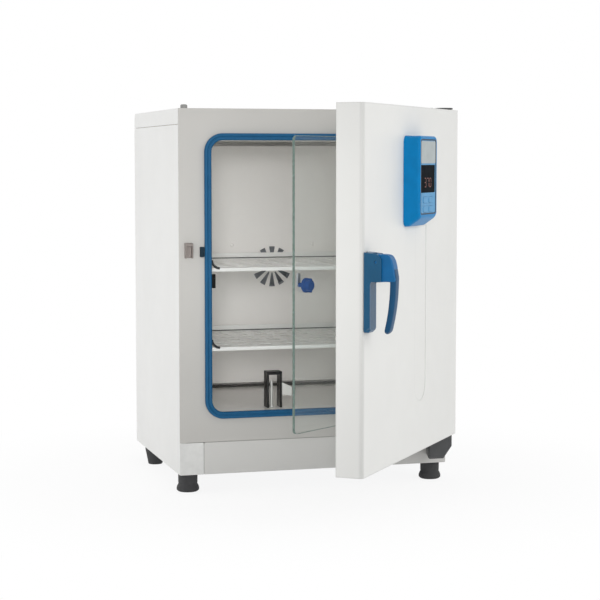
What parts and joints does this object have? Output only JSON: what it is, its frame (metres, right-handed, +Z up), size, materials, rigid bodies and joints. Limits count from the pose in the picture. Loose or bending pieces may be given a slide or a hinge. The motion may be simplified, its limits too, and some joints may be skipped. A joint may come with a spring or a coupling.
{
  "type": "microbiological incubator",
  "caption": "Bench incubator with an insulated steel cabinet, an outer door and a glass inner door ajar, perforated shelves, a fan and a door-mounted control.",
  "frame": {"origin": "centre of the front left foot's underside, on the surface it stands on", "axes": "+X to the right across the front, +Y towards the rear, +Z up"},
  "size_m": [0.5363, 0.9105, 0.7273],
  "materials": {
    "cabinet_white": "smooth off-white powder coat, satin",
    "door_white": "smooth off-white powder coat, satin",
    "frame_grey": "light grey powder coat, satin",
    "corner_grey": "light grey moulding, satin",
    "polished_steel": "stainless steel, fine polished",
    "zinc_steel": "zinc plated steel, dull",
    "gasket_blue": "blue silicone, matt",
    "seal_grey": "grey magnetic seal, matt",
    "control_blue": "bright blue moulding, semi gloss",
    "handle_blue": "blue moulding, satin",
    "keypad_blue": "light blue membrane, satin",
    "display_black": "dark window, glossy",
    "bracket_grey": "dark grey moulding, satin",
    "rubber_black": "black rubber, matt",
    "glass_clear": "clear toughened glass with a green edge",
    "jacket_wool": "mineral wool",
    "foam_cream": "rigid foam",
    "board_green": "circuit board",
    "motor_dark": "black lacquer"
  },
  "bodies": {
    "cabinet": {"top_cover": "cabinet_white", "side_panel_left": "cabinet_white", "side_panel_right": "cabinet_white", "rear_panel": "cabinet_white", "base_plate": "zinc_steel", "front_frame": "frame_grey", "fascia_panel": "frame_grey", "fascia_corner": "corner_grey", "chamber_liner": "polished_steel", "chamber_gasket": "gasket_blue", "rear_baffle": "polished_steel", "fan_motor": "motor_dark", "heater_ring": "zinc_steel", "temperature_probe": "zinc_steel", "probe_guard": "polished_steel", "shelf_support_left": "polished_steel", "shelf_support_right": "polished_steel", "runner_lower_left": "polished_steel", "runner_lower_right": "polished_steel", "runner_upper_left": "polished_steel", "runner_upper_right": "polished_steel", "insulation_jacket": "jacket_wool", "power_supply": "zinc_steel", "mains_inlet": "rubber_black", "foot_front_left": "rubber_black", "foot_front_right": "rubber_black", "foot_rear_left": "rubber_black", "foot_rear_right": "rubber_black", "hinge_bracket_upper": "bracket_grey", "hinge_bracket_lower": "bracket_grey", "blanking_cap": "bracket_grey", "latch_striker": "zinc_steel", "door_contact": "rubber_black", "glass_keeper": "rubber_black", "glass_hinge_lower": "bracket_grey", "glass_hinge_upper": "bracket_grey"},
    "outer_door": {"door_outer_panel": "door_white", "door_inner_panel": "door_white", "door_insulation": "foam_cream", "door_seal": "seal_grey", "handle_base": "handle_blue", "handle_pin": "zinc_steel", "control_housing": "control_blue", "control_face": "keypad_blue", "display_window": "display_black", "control_board": "board_green"},
    "door_handle": {"handle_lever": "handle_blue", "latch_hook": "zinc_steel"},
    "glass_door": {"glass_pane": "glass_clear", "glass_clamp_lower": "bracket_grey", "glass_clamp_upper": "bracket_grey"},
    "glass_latch": {"glass_knob": "handle_blue", "latch_tongue": "zinc_steel"},
    "fan": {"fan_wheel": "zinc_steel"},
    "lower_shelf": {"shelf_lower": "polished_steel"},
    "upper_shelf": {"shelf_upper": "polished_steel"},
    "menu_key": {"key_menu": "keypad_blue"},
    "up_key": {"key_up": "keypad_blue"},
    "down_key": {"key_down": "keypad_blue"},
    "set_key": {"key_set": "keypad_blue"}
  },
  "joints": [
    {"name": "outer_door_hinge", "type": "hinge", "parent": "cabinet", "child": "outer_door", "pos_m": [0.4955, -0.064, 0.4], "axis": [0, 0, 1], "range_deg": [-51.8, 40]},
    {"name": "glass_door_hinge", "type": "hinge", "parent": "cabinet", "child": "glass_door", "pos_m": [0.463, -0.0418, 0.4], "axis": [0, 0, 1], "range_deg": [-37.35, 28.85]},
    {"name": "handle_pivot", "type": "hinge", "parent": "outer_door", "child": "door_handle", "pos_m": [0.21647, -0.48004, 0.4575], "axis": [-0.6184, -0.7859, 0], "range_deg": [-4, 10], "stiffness_Nm_per_rad": 4},
    {"name": "glass_latch_turn", "type": "hinge", "parent": "glass_door", "child": "glass_latch", "pos_m": [0.1477, -0.28469, 0.407], "axis": [0.6067, -0.7949, 0], "range_deg": [0, 90]},
    {"name": "fan_spin", "type": "hinge", "parent": "cabinet", "child": "fan", "pos_m": [0.2515, 0.3352, 0.403], "axis": [0, 1, 0], "continuous": true},
    {"name": "lower_shelf_slide", "type": "slide", "parent": "cabinet", "child": "lower_shelf", "axis": [0, -1, 0], "range_m": [0, 0.03]},
    {"name": "upper_shelf_slide", "type": "slide", "parent": "cabinet", "child": "upper_shelf", "axis": [0, -1, 0], "range_m": [0, 0.03]},
    {"name": "menu_key_press", "type": "slide", "parent": "outer_door", "child": "menu_key", "axis": [-0.7859, 0.6184, 0], "range_m": [0, 0.0008], "stiffness_N_per_m": 400},
    {"name": "up_key_press", "type": "slide", "parent": "outer_door", "child": "up_key", "axis": [-0.7859, 0.6184, 0], "range_m": [0, 0.0008], "stiffness_N_per_m": 400},
    {"name": "down_key_press", "type": "slide", "parent": "outer_door", "child": "down_key", "axis": [-0.7859, 0.6184, 0], "range_m": [0, 0.0008], "stiffness_N_per_m": 400},
    {"name": "set_key_press", "type": "slide", "parent": "outer_door", "child": "set_key", "axis": [-0.7859, 0.6184, 0], "range_m": [0, 0.0008], "stiffness_N_per_m": 400}
  ],
  "couplings": [
    {"joint": "glass_door_hinge", "follows": "outer_door_hinge", "ratio": 0.72104}
  ]
}
